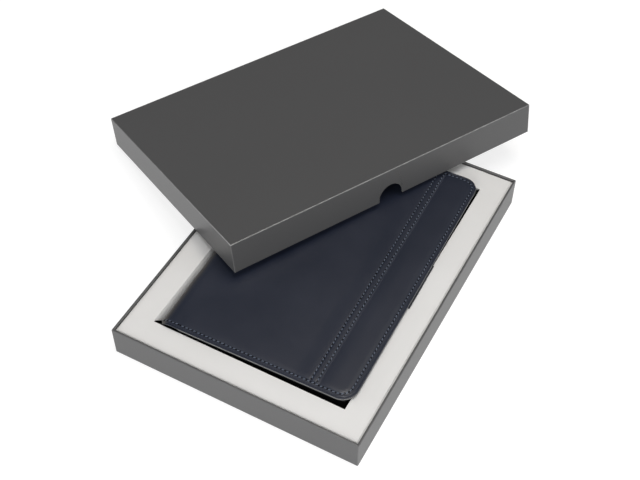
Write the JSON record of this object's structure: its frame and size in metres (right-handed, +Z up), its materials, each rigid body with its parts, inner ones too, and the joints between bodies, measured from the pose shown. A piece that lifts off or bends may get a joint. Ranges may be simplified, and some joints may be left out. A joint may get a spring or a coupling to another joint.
{
  "type": "presentation box with notebook",
  "caption": "Rigid paper-wrapped presentation box with lift-off notched lid, card insert and a stitched leather notebook in its cut-out.",
  "frame": {"origin": "centre of the base tray's underside", "axes": "+X along the tray's short side, +Y along its long side, +Z up, out of the tray"},
  "size_m": [0.2926, 0.3829, 0.0579],
  "materials": {
    "grey_board": "matt",
    "stay_tape": "matt",
    "wrap_paper": "satin coated",
    "lining_paper": "matt",
    "insert_card": "matt",
    "cover_leather": "smooth semi-matt",
    "stiffener_board": "matt",
    "cover_lining": "matt",
    "page_paper": "matt",
    "loop_elastic": "ribbed",
    "thread": "twisted"
  },
  "bodies": {
    "base": {"base_floor_board": "grey_board", "base_wall_front_board": "grey_board", "base_wall_back_board": "grey_board", "base_wall_left_board": "grey_board", "base_wall_right_board": "grey_board", "base_stay_front_left": "stay_tape", "base_stay_front_right": "stay_tape", "base_stay_back_left": "stay_tape", "base_stay_back_right": "stay_tape", "base_wrap_bottom": "wrap_paper", "base_wrap_sides": "wrap_paper", "base_lining": "lining_paper", "insert_platform": "insert_card", "insert_flap_left": "insert_card", "insert_flap_right": "insert_card", "insert_flap_front": "insert_card", "insert_flap_back": "insert_card", "insert_leg_left": "insert_card", "insert_leg_right": "insert_card", "insert_leg_front": "insert_card", "insert_leg_back": "insert_card"},
    "notebook": {"back_leather": "cover_leather", "back_board": "stiffener_board", "back_lining": "cover_lining", "spine_leather": "cover_leather", "page_block": "page_paper", "pen_loop": "loop_elastic"},
    "front_cover": {"front_leather": "cover_leather", "front_board": "stiffener_board", "front_lining": "cover_lining", "seam_band": "cover_leather", "thread_perimeter": "thread", "thread_band_left": "thread", "thread_band_right": "thread"},
    "lid": {"lid_top_board": "grey_board", "lid_wall_notched_board": "grey_board", "lid_wall_plain_board": "grey_board", "lid_wall_near_board": "grey_board", "lid_wall_far_board": "grey_board", "lid_stay_near_plain": "stay_tape", "lid_stay_near_notched": "stay_tape", "lid_stay_far_plain": "stay_tape", "lid_stay_far_notched": "stay_tape", "lid_wrap_top": "wrap_paper", "lid_wrap_sides": "wrap_paper", "lid_lining": "lining_paper"}
  },
  "joints": [
    {"name": "lid_lift", "type": "slide", "parent": "base", "child": "lid", "axis": [0, 0, 1], "range_m": [0, 0.3]},
    {"name": "notebook_lift", "type": "slide", "parent": "base", "child": "notebook", "axis": [0, 0, 1], "range_m": [0, 0.105]},
    {"name": "cover_hinge", "type": "hinge", "parent": "notebook", "child": "front_cover", "pos_m": [-0.05499, -0.00122, 0.02695], "axis": [0.0222, -0.9998, 0], "range_deg": [0, 60]}
  ],
  "couplings": [
    {"joint": "notebook_lift", "follows": "lid_lift", "ratio": 0.35},
    {"joint": "cover_hinge", "follows": "lid_lift", "rad_per_m": 3.49}
  ]
}
